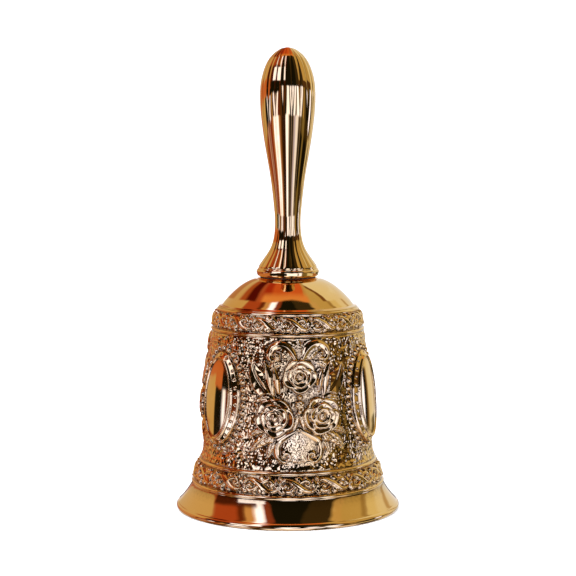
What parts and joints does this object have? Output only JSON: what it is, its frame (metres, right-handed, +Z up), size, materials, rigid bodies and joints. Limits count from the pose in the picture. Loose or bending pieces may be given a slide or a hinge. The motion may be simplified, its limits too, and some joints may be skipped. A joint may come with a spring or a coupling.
{
  "type": "sanctus bell",
  "caption": "Gilt altar hand bell: relief-cast flaring shell on a reeded grip, rung by a clapper that swings from a swivelling yoke under the crown.",
  "frame": {"origin": "on the bell's axis, in the plane of the lip, so the bell stands on z = 0", "axes": "+Z up the handle; -Y faces the middle of one of the three flower panels; +X is along the clapper's pivot pin at rest"},
  "size_m": [0.079, 0.079, 0.1623],
  "materials": {
    "gilt": "mirror-polished gold plate over cast relief",
    "brass_fitting": "machined, lightly toned",
    "steel": "bright zinc plate",
    "leather": "pressed vegetable-tanned leather",
    "nylon": "natural, turned"
  },
  "bodies": {
    "bell": {"bell_shell": "gilt", "handle_grip": "gilt", "handle_collar": "gilt", "seat_washer": "leather", "crown_stud": "steel", "crown_washer": "steel", "spring_washer": "steel", "crown_nut": "steel", "swivel_washer": "nylon", "swivel_screw": "steel"},
    "yoke": {"clapper_yoke": "brass_fitting", "pivot_pin": "steel", "pin_clip": "steel", "spacer_left": "brass_fitting", "spacer_right": "brass_fitting"},
    "clapper": {"clapper_rod": "brass_fitting", "clapper_ball": "brass_fitting", "clapper_nut": "steel", "eye_bush": "nylon"}
  },
  "joints": [
    {"name": "yoke_swivel", "type": "hinge", "parent": "bell", "child": "yoke", "pos_m": [0, 0, 0.067], "axis": [0, 0, 1], "continuous": true},
    {"name": "clapper_swing", "type": "hinge", "parent": "yoke", "child": "clapper", "pos_m": [0, 0, 0.0594], "axis": [1, 0, 0], "range_deg": [-26.8, 26.8]}
  ]
}
